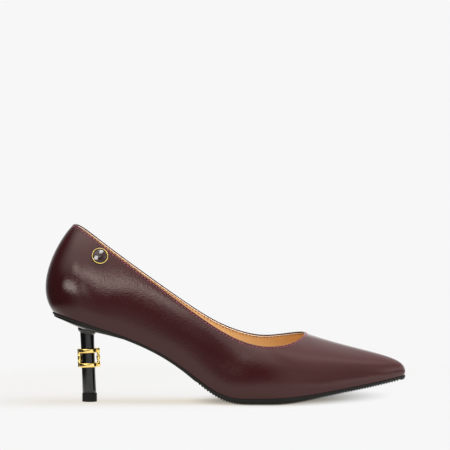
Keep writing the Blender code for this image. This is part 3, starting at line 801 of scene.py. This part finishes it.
def makeHeel():
    form = heelForm
    depthTable = np.array(form["dishDepth"])
    depthLine = smoothLine(depthTable[:, 0], depthTable[:, 1])
    angle = np.linspace(0, 2 * math.pi, form["dishSegments"], endpoint=False)
    power = 2 / form["dishSquareness"]
    ox = form["dishHalfLength"] * np.sign(np.cos(angle)) * np.abs(np.cos(angle)) ** power
    oy = form["dishHalfWidth"] * np.sign(np.sin(angle)) * np.abs(np.sin(angle)) ** power
    loops = []
    for side in ("under", "over"):
        steps = np.linspace(0.02, 1, form["dishRings"])
        for step in steps if side == "under" else steps[::-6]:
            share = math.sin(math.pi / 2 * step)
            x = form["dishCentreX"] + ox * share
            y = oy * share
            z = soleBottom(x, y) - lastForm["fitGap"]
            if side == "under":
                bowl = np.maximum(depthLine(x) - form["dishRim"], 0.0)
                z = z - form["dishRim"] - bowl * math.sqrt(max(1 - share**4, 0.0))
            loops.append(np.stack([x, y, z], axis=-1))
    dish = wrapLoops(loops, capped=True)
    place = Matrix.Translation((form["flangeX"], 0, form["flangeTopZ"]))
    place = place @ Matrix.Rotation(math.radians(form["flangeTilt"]), 4, "Y")
    ends = [(core, form["flange"][0][1]), (core, form["flange"][-1][1])]
    rim = [ends[0]] + softCorners(form["flange"], form["flangeRound"], steps=5)[1:-1] + [ends[1]]
    flange = movedPart(turnedPart(rim, form["segments"]), place)
    postTable = np.array(form["post"])
    postLine = smoothLine(postTable[:, 1], postTable[:, 0])
    heights = np.linspace(form["post"][0][1], form["post"][-1][1], 40)
    foot = [(core, heights[0]), (float(postLine(heights[0])) - form["postBevel"], heights[0])]
    stem = foot + [(float(postLine(h)), h) for h in heights[1:]]
    post = turnedPart(stem, form["segments"], axis=postAxis)
    return buildPiece("heelPost", [dish, flange, post], heelFinish, ["heel"], sharpDeg=50)


def makeHeelTip():
    form = heelForm
    r = form["tipRadius"]
    h = form["tipHeight"]
    # A shallow ring near the top, where the mould closes
    start, middle, end = form["tipGroove"]
    groove = [(r, h - start), (r - form["grooveDepth"], h - middle), (r, h - end)]
    outline = [(core, 0.0), (r, 0.0)] + groove + [(r, h), (core, h)]
    profile = softCorners(outline, form["tipRound"], steps=4)
    tip = turnedPart(profile, form["segments"], axis=lambda height: tipAxisX)
    return buildPiece("heelTip", [tip], tipFinish, ["heel_tip"], sharpDeg=60)


# Ornament: two polished bands round the post, joined by a beaded bar in front and a plain one behind
ornament = {
    "height": 30.85, "spacing": 10.1, "bandHeight": 3.1, "outer": 6.83, "inner": 5.05, "chamfer": 0.8,
    "frontOut": 7.2, "backOut": 5.95,
    "frontBar": [(1.25, 6.4), (1.25, 3.2), (0.8, 2.6), (0.8, 2.0), (1.25, 1.3), (1.35, 0.0)],
    "backBar": [(1.3, 6.4), (1.3, 3.0), (1.15, 2.2), (1.3, 1.4)],
    "lug": (5.3, 8.45, 1.35),  # from, to, half width of the block where the front bar meets a band
    "round": 0.3, "barSegments": 48,
}


def blockPart(low, high, cut):
    # A block with its upright edges and its rims rounded
    x0, y0, z0 = low
    x1, y1, z1 = high
    flat = softCorners([(x0, y0), (x1, y0), (x1, y1), (x0, y1)], cut, steps=3, closed=True)
    flat = np.array(flat)
    centre = flat.mean(axis=0)
    loops = []
    for deg in (90, 60, 30, 0):
        a = math.radians(deg)
        shrink = cut * (1 - math.cos(a))
        loops.append((shrink, z0 + cut * (1 - math.sin(a))))
    loops = loops + [(s, z1 - (z - z0)) for s, z in reversed(loops)]
    size = np.array([x1 - x0, y1 - y0])
    made = []
    for shrink, z in loops:
        ring = centre + (flat - centre) * (1 - 2 * shrink / size)
        made.append(np.column_stack([ring, np.full(len(ring), z)]))
    return wrapLoops(made, capped=True)


def makeOrnament():
    form = ornament
    run = heelForm["postTopX"] - heelForm["postFootX"]
    lean = math.atan2(run, heelForm["postTopZ"] - heelForm["tipHeight"])
    place = Matrix.Translation((postAxis(form["height"]), 0, form["height"])) @ Matrix.Rotation(lean, 4, "Y")
    parts = []
    half = form["bandHeight"] / 2
    for level in (-form["spacing"] / 2, form["spacing"] / 2):
        corners = [(form["inner"], level - half), (form["outer"], level - half),
                   (form["outer"], level + half), (form["inner"], level + half)]
        band = softCorners(corners, form["chamfer"], steps=5, closed=True)
        parts.append(turnedPart(band, heelForm["segments"], closed=True))
        x0, x1, w = form["lug"]
        parts.append(blockPart((x0, -w, level - half), (x1, w, level + half), form["round"]))
    for bar, out in ((form["frontBar"], form["frontOut"]), (form["backBar"], -form["backOut"])):
        ends = [(r, -h) for r, h in bar] + [(r, h) for r, h in reversed(bar) if h > 0]
        middle = softCorners(ends, form["round"], steps=4)
        profile = [(core, -bar[0][1])] + middle + [(core, bar[0][1])]
        turned = turnedPart(profile, form["barSegments"])
        parts.append(movedPart(turned, Matrix.Translation((out, 0, 0))))
    parts = [movedPart(part, place) for part in parts]
    return buildPiece("heelBands", parts, goldFinish, ["heel_ornament"], sharpDeg=60)


# Badge: a turned rim round a plain domed drop of enamel
badge = {
    "x": 37.6, "z": 103.3, "radius": 5.6, "rimWidth": 0.42, "rimHeight": 1.6, "floor": 0.6,
    "sink": 0.4, "rimRound": 0.28, "clear": 0.05, "segments": 96,
    "domeRise": 1.75, "domeEdge": 0.2, "domeFit": 0.04,
    # glints on the drop: turn from the right, tilt, width and height of the box that is mirrored there
    "glints": [(72.0, 26.0, 230.0, 84.0), (207.0, 23.0, 120.0, 130.0)],
    "glintAway": 150.0, "glintSoft": 0.25, "glintStrength": 15.0,
}


def badgePlace():
    u, v = np.meshgrid(np.linspace(ringKnots[1], ringKnots[4], 240), np.linspace(0.3, 1.0, 160))
    wall = upperSurface(u, v)
    miss = (wall[..., 0] - badge["x"]) ** 2 + (wall[..., 2] - badge["z"]) ** 2
    j, i = np.unravel_index(np.argmin(miss), miss.shape)
    centre = wall[j, i]
    normal = upperNormal(u[j, i], v[j, i])
    near = np.linalg.norm(wall - centre, axis=-1) < badge["radius"]
    standOff = np.max((wall[near] - centre) @ normal) + badge["clear"]
    out = Vector(normal)
    across = Vector((0, 0, 1)).cross(out).normalized()
    turn = Matrix((across, out.cross(across), out)).transposed().to_4x4()
    return Matrix.Translation(Vector(centre) + out * standOff) @ turn


def makeBadge():
    form = badge
    place = badgePlace()
    inside = form["radius"] - form["rimWidth"]
    outline = [(core, -form["sink"]), (form["radius"], -form["sink"]), (form["radius"], form["rimHeight"]),
               (inside, form["rimHeight"]), (inside, form["floor"]), (core, form["floor"])]
    rim = turnedPart(softCorners(outline, form["rimRound"], steps=4), form["segments"])
    buildPiece("badgeRim", [movedPart(rim, place)], goldFinish, ["badge_rim"], sharpDeg=60)
    edge = inside - form["domeFit"]
    foot = form["floor"] + form["clear"]
    rise = form["domeRise"]
    ball = (edge**2 + rise**2) / (2 * rise)
    profile = [(core, foot), (edge, foot)]
    for a in np.linspace(math.asin(edge / ball), 0.01, 24):
        profile.append((ball * math.sin(a), foot + form["domeEdge"] + rise - ball * (1 - math.cos(a))))
    drop = movedPart(turnedPart(profile, form["segments"]), place)
    return place, buildPiece("badgeDome", [drop], enamelFinish, ["badge_dome"], sharpDeg=60)


makeUpperLeather()
makeUpperLining()
makeStitches()
makeSock()
makeSole()
makeHeel()
makeHeelTip()
makeOrnament()
badgeAt, badgeDrop = makeBadge()
print("shoe dressed")

# Camera: a long lens, level with the shoe and a little above it
shot = {"width": 315.0, "distance": 8000.0, "elevation": 3.6, "centreX": 124.95, "centreZ": 123.9}


def setCamera():
    a = math.radians(shot["elevation"])
    target = (np.array([shot["centreX"], 0.0, shot["centreZ"]]) + rowShift) * mm
    back = Vector((0, -math.cos(a), math.sin(a)))
    lens = bpy.data.cameras.new("studioCamera")
    lens.sensor_width = 36.0
    lens.lens = 36.0 * shot["distance"] / shot["width"]
    lens.clip_end = 100.0
    camera = bpy.data.objects.new("studioCamera", lens)
    camera.location = Vector(target) + back * shot["distance"] * mm
    camera.rotation_mode = "QUATERNION"
    camera.rotation_quaternion = (-back).to_track_quat("-Z", "Y")
    bpy.context.scene.collection.objects.link(camera)
    bpy.context.scene.camera = camera


# Studio: a white sweep behind, a black flag on the left and a dim side behind the camera. Levels are for what
# lies under the table, for the horizon, the middle height, the top and straight overhead. The high box
# and its soft edges are in degrees, its azimuth from the camera to the right.
studio = {
    "paper": "#f7f7f7",
    "levels": {
        "under": 0.6, "flag": 0.06, "front": 0.03, "right": 0.6, "farRight": 2.2, "back": 1.1,
        "middleLeft": 2.1, "middleRight": 1.1, "flagTop": 1.0, "topLeft": 3.1, "topRight": 1.7,
        "overhead": 1.7,
    },
    "highBox": {
        "azimuth": 48.0, "elevation": 57.0, "halfWide": 22.0, "halfHigh": 8.0,
        "softWide": 26.0, "softHigh": 12.0, "strength": 0.7,
    },
    "floorZ": -0.02, "floorRings": (1.0, 200.0, 500.0, 900.0, 1500.0),
    "tableGlow": "#ded6c8",  # light through the paper, warm
    "tableLit": "#4a5462",  # light on the paper, cooler: both together are white
    "tableWhite": "#f7f7f7",
    "tableCentre": (10.0, -50.0), "tableReach": (240.0, 370.0), "tableFade": (0.85, 1.3),
    "tableOver": (1.4, 2.1), "overFrom": (95.0, 160.0),  # what the mirrors see, more than a print can show
    # shade painted under the toe and round the tread: centre, reach, turn, depth
    "paintedShade": [((46.0, 34.0), (44.0, 60.0), -26.0, 0.66), ((18.0, 4.0), (30.0, 28.0), 0.0, 0.45)],
    "paintedShadeEdge": (1.6, 0.4),
    "shadowSlant": (36.0, 110.0, 130.0),  # from, to, how far the painted front edge of the shadow draws back under the toe
    "shadowFront": (-95.0, -25.0),  # in front of this edge the floor glows plain white and takes no shade: painted light over the shadows there
}


def softEdges(tree, spans):
    # One inside both spans and nought outside: a value, its centre, how far off nought and one begin
    shares = []
    for value, centre, outside, inside in spans:
        away = addNode(tree, "ShaderNodeMath", {0: value, 1: centre}, operation="SUBTRACT")
        away = addNode(tree, "ShaderNodeMath", {0: away}, operation="ABSOLUTE")
        shares.append(addNode(tree, "ShaderNodeMapRange", {
            "Value": away, "From Min": outside, "From Max": inside,
        }, interpolation_type="SMOOTHSTEP"))
    return addNode(tree, "ShaderNodeMath", {0: shares[0], 1: shares[1]}, operation="MULTIPLY")


def setWorld():
    world = bpy.data.worlds.new("paperStudio")
    bpy.context.scene.world = world
    world.use_nodes = True
    tree = world.node_tree
    tree.nodes.clear()
    way = addNode(tree, "ShaderNodeTexCoord").outputs["Generated"]
    axes = addNode(tree, "ShaderNodeSeparateXYZ", {"Vector": way}).outputs
    toCamera = addNode(tree, "ShaderNodeMath", {0: axes["Y"], 1: -1.0}, operation="MULTIPLY")
    azimuth = addNode(tree, "ShaderNodeMath", {0: axes["X"], 1: toCamera}, operation="ARCTAN2")
    azimuth = addNode(tree, "ShaderNodeMath", {0: azimuth}, operation="DEGREES")
    elevation = addNode(tree, "ShaderNodeMath", {0: axes["Z"]}, operation="ARCSINE")
    elevation = addNode(tree, "ShaderNodeMath", {0: elevation}, operation="DEGREES")
    turned = addNode(tree, "ShaderNodeMath", {0: azimuth}, operation="ABSOLUTE")
    # Where one level gives way to the next, in degrees
    shares = {}
    for name, value, start, end in (
        ("pastFlag", azimuth, -115, -45), ("pastSide", azimuth, -50, -16),
        ("toRight", azimuth, 10, 36), ("toFarRight", azimuth, 38, 56),
        ("behind", turned, 125, 195),
        ("overTable", elevation, -6, 9), ("overLow", elevation, 12, 33), ("overMiddle", elevation, 33, 52),
        ("overTop", elevation, 66, 76),
    ):
        shares[name] = addNode(tree, "ShaderNodeMapRange", {
            "Value": value, "From Min": start, "From Max": end,
        }, interpolation_type="SMOOTHSTEP")
    level = dict(studio["levels"])
    for name, share, a, b in (
        ("low", "pastFlag", "flag", "front"), ("low", "toRight", "low", "right"),
        ("low", "toFarRight", "low", "farRight"), ("low", "behind", "low", "back"),
        ("middle", "pastFlag", "flag", "middleLeft"), ("middle", "toRight", "middle", "middleRight"),
        ("middle", "behind", "middle", "back"), ("top", "pastFlag", "flagTop", "topLeft"),
        ("top", "toRight", "top", "topRight"), ("top", "behind", "top", "back"),
        ("under", "pastSide", "flag", "under"), ("under", "behind", "under", "back"),
        ("low", "overTable", "under", "low"), ("room", "overLow", "low", "middle"),
        ("room", "overMiddle", "room", "top"), ("room", "overTop", "room", "overhead"),
    ):
        level[name] = addNode(tree, "ShaderNodeMix", {
            "Factor": shares[share], "A": level[a], "B": level[b],
        }, data_type="FLOAT")
    box = studio["highBox"]
    wide, softWide = box["halfWide"], box["softWide"] / 2
    high, softHigh = box["halfHigh"], box["softHigh"] / 2
    inBox = softEdges(tree, [
        (azimuth, box["azimuth"], wide + softWide, wide - softWide),
        (elevation, box["elevation"], high + softHigh, high - softHigh),
    ])
    light = addNode(tree, "ShaderNodeMath", {0: inBox, 1: box["strength"], 2: level["room"]},
                    operation="MULTIPLY_ADD")
    lit = addNode(tree, "ShaderNodeBackground", {"Color": (1, 1, 1, 1), "Strength": light})
    paper = addNode(tree, "ShaderNodeBackground", {"Color": hexColour(studio["paper"]), "Strength": 1.0})
    seen = addNode(tree, "ShaderNodeLightPath").outputs["Is Camera Ray"]
    both = addNode(tree, "ShaderNodeMixShader", {0: seen, 1: lit, 2: paper})
    addNode(tree, "ShaderNodeOutputWorld", {"Surface": both})


# Overhead box, straight above and flagged off from the mirrors: it lights the matt parts from the top
overhead = {"size": 700.0, "place": (260.0, 0.0, 900.0), "level": 9.0}


def setOverhead():
    side = overhead["size"] * mm
    lamp = bpy.data.lights.new("overheadBox", "AREA")
    lamp.shape = "SQUARE"
    lamp.size = side
    lamp.energy = math.pi * side * side * overhead["level"]
    box = bpy.data.objects.new("overheadBox", lamp)
    box.location = Vector(overhead["place"]) * mm
    box.visible_camera = False
    box.visible_glossy = False
    bpy.context.scene.collection.objects.link(box)


# Soft boxes that only the mirrors see: centre, the point faced, width, height, soft edge across and upright
# as shares of the size, roll and grid angle in degrees, strength. A narrow grid keeps a box to one part of
# the shoe.
softBoxes = [
    ((-300.0, -450.0, 154.0), (50.0, -25.0, 84.0), 600.0, 116.0, 0.4, 0.18, 0.0, 180.0, 8.0),
    ((-15.0, -450.0, 152.0), (30.0, -25.0, 84.0), 190.0, 84.0, 0.5, 0.3, 0.0, 18.0, 5.0),
    ((-120.0, -450.0, 284.0), (50.0, -25.0, 84.0), 330.0, 64.0, 0.32, 0.35, -14.0, 180.0, 6.4),
    ((30.0, -450.0, 248.0), (40.0, -25.0, 84.0), 170.0, 84.0, 0.45, 0.26, -8.0, 18.0, 8.0),
    ((110.0, -450.0, 234.0), (35.0, -25.0, 84.0), 170.0, 86.0, 0.35, 0.24, -16.0, 17.0, 10.0),
    ((112.0, -450.0, 172.0), (82.0, -25.0, 64.0), 130.0, 90.0, 0.4, 0.4, 0.0, 15.0, 2.4),
    ((340.0, -450.0, 85.0), (150.0, -25.0, 40.0), 420.0, 260.0, 0.4, 0.4, 0.0, 180.0, 0.55),
    ((62.0, -22.0, 420.0), (62.0, -22.0, 100.0), 240.0, 80.0, 0.2, 0.3, 0.0, 30.0, 12.0),
]


def addSoftBox(place, facing, wide, high, softWide, softHigh, roll, grid, strength, only=None):
    half = math.radians(grid) / 2
    lamp = bpy.data.lights.new("softBox", "AREA")
    lamp.shape = "RECTANGLE"
    lamp.size = wide * mm
    lamp.size_y = high * mm
    lamp.spread = 2 * half
    lamp.energy = math.pi * lamp.size * lamp.size_y * strength * (1 - half / math.tan(half))
    lamp.use_nodes = True
    tree = lamp.node_tree
    tree.nodes.clear()
    spot = addNode(tree, "ShaderNodeNewGeometry").outputs["Parametric"]
    axes = addNode(tree, "ShaderNodeSeparateXYZ", {"Vector": spot}).outputs
    both = softEdges(tree, [(axes["X"], 0.5, 0.5, 0.5 - softWide), (axes["Y"], 0.5, 0.5, 0.5 - softHigh)])
    glow = addNode(tree, "ShaderNodeEmission", {"Color": (1, 1, 1, 1), "Strength": both})
    addNode(tree, "ShaderNodeOutputLight", {"Surface": glow})
    box = bpy.data.objects.new("softBox", lamp)
    back = Vector(np.array(place) - np.array(facing)).normalized()
    turn = back.to_track_quat("Z", "Y").to_matrix().to_4x4() @ Matrix.Rotation(math.radians(roll), 4, "Z")
    box.matrix_world = Matrix.Translation(Vector((np.array(place) + rowShift) * mm)) @ turn
    box.visible_camera = False
    box.visible_diffuse = False
    bpy.context.scene.collection.objects.link(box)
    if only:
        group = bpy.data.collections.new("litAlone")
        group.objects.link(only)
        box.light_linking.receiver_collection = group


def setSoftBoxes():
    for values in softBoxes:
        addSoftBox(*values)
    a = math.radians(shot["elevation"])
    toCamera = Vector((0, -math.cos(a), math.sin(a)))
    centre = badgeAt.translation
    for turn, tilt, wide, high in badge["glints"]:
        turn, tilt = math.radians(turn), math.radians(tilt)
        lean = Vector((math.cos(turn) * math.sin(tilt), math.sin(turn) * math.sin(tilt), math.cos(tilt)))
        normal = badgeAt.to_3x3() @ lean
        way = 2 * normal.dot(toCamera) * normal - toCamera
        soft = badge["glintSoft"]
        addSoftBox(centre + way * badge["glintAway"], centre, wide, high, soft, soft, 0.0, 180.0,
                   badge["glintStrength"], only=badgeDrop)


def ovalShare(tree, place, centre, reach, turn, start, end, top=1.0):
    # Rises softly to the top between two distances from an oval's centre, given as shares of its reach
    oval = addNode(tree, "ShaderNodeMapping", {
        "Vector": place, "Location": (centre[0] * mm, centre[1] * mm, 0),
        "Rotation": (0, 0, math.radians(turn)), "Scale": (reach[0] * mm, reach[1] * mm, 1),
    }, vector_type="TEXTURE")
    away = addNode(tree, "ShaderNodeVectorMath", {0: oval}, operation="LENGTH").outputs["Value"]
    return addNode(tree, "ShaderNodeMapRange", {
        "Value": away, "From Min": start, "From Max": end, "To Max": top,
    }, interpolation_type="SMOOTHSTEP")


def setFloor():
    # Paper over a light table, an oval that fades out round the shoe and a little way in front of it
    steps = 64
    angle = np.linspace(0, 2 * math.pi, steps, endpoint=False)
    loops = [np.stack([r * np.cos(angle), r * np.sin(angle), np.full(steps, studio["floorZ"])], axis=-1)
             for r in studio["floorRings"]]
    points, faces = wrapLoops(loops)
    faces.append(list(range(steps)))
    mesh = bpy.data.meshes.new("paperFloor")
    mesh.from_pydata((points * mm).tolist(), [], faces)
    material = bpy.data.materials.new("whitePaper")
    material.use_nodes = True
    tree = material.node_tree
    tree.nodes.clear()
    place = addNode(tree, "ShaderNodeTexCoord").outputs["Object"]
    fade = ovalShare(tree, place, studio["tableCentre"], studio["tableReach"], 0.0, *studio["tableFade"])
    paper = addNode(tree, "ShaderNodeBsdfDiffuse", {"Color": hexColour(studio["tableLit"])})
    seen = addNode(tree, "ShaderNodeLightPath").outputs["Is Camera Ray"]
    spot = addNode(tree, "ShaderNodeSeparateXYZ", {"Vector": place}).outputs
    start, end = studio["overFrom"]
    low, high = studio["tableOver"]
    over = addNode(tree, "ShaderNodeMapRange", {
        "Value": spot["X"], "From Min": start * mm, "From Max": end * mm, "To Min": low, "To Max": high,
    })
    power = addNode(tree, "ShaderNodeMix", {"Factor": seen, "A": over, "B": 1.0}, data_type="FLOAT")
    glow = addNode(tree, "ShaderNodeEmission", {"Color": hexColour(studio["tableGlow"]), "Strength": power})
    shaded = addNode(tree, "ShaderNodeAddShader", {0: paper, 1: glow})
    # Painted light: in front of a slanted edge the floor is a plain white glow that takes no shade
    white = hexColour(studio["tableWhite"])
    paintedWhite = addNode(tree, "ShaderNodeEmission", {"Color": white, "Strength": power})
    start, end, slant = studio["shadowSlant"]
    drawn = addNode(tree, "ShaderNodeMapRange", {
        "Value": spot["X"], "From Min": start * mm, "From Max": end * mm, "To Max": slant * mm,
    })
    depth = addNode(tree, "ShaderNodeMath", {0: spot["Y"], 1: drawn}, operation="SUBTRACT")
    near, far = studio["shadowFront"]
    front = addNode(tree, "ShaderNodeMapRange", {"Value": depth, "From Min": near * mm, "From Max": far * mm},
                    interpolation_type="SMOOTHSTEP")
    table = addNode(tree, "ShaderNodeMixShader", {0: front, 1: paintedWhite, 2: shaded})
    shadeBlack = addNode(tree, "ShaderNodeBsdfDiffuse", {"Color": (0, 0, 0, 1)})
    # Painted shade: inside each oval the floor is mixed towards black
    for centre, reach, turn, share in studio["paintedShade"]:
        shadeShare = ovalShare(tree, place, centre, reach, turn, *studio["paintedShadeEdge"], share)
        table = addNode(tree, "ShaderNodeMixShader", {0: shadeShare, 1: table, 2: shadeBlack})
    clear = addNode(tree, "ShaderNodeBsdfTransparent")
    both = addNode(tree, "ShaderNodeMixShader", {0: fade, 1: table, 2: clear})
    addNode(tree, "ShaderNodeOutputMaterial", {"Surface": both})
    mesh.materials.append(material)
    floor = bpy.data.objects.new("paperFloor", mesh)
    bpy.context.scene.collection.objects.link(floor)


setCamera()
setWorld()
setOverhead()
setSoftBoxes()
setFloor()
bpy.context.scene.view_settings.view_transform = "Standard"
bpy.context.scene.view_settings.look = "None"
print("studio set")
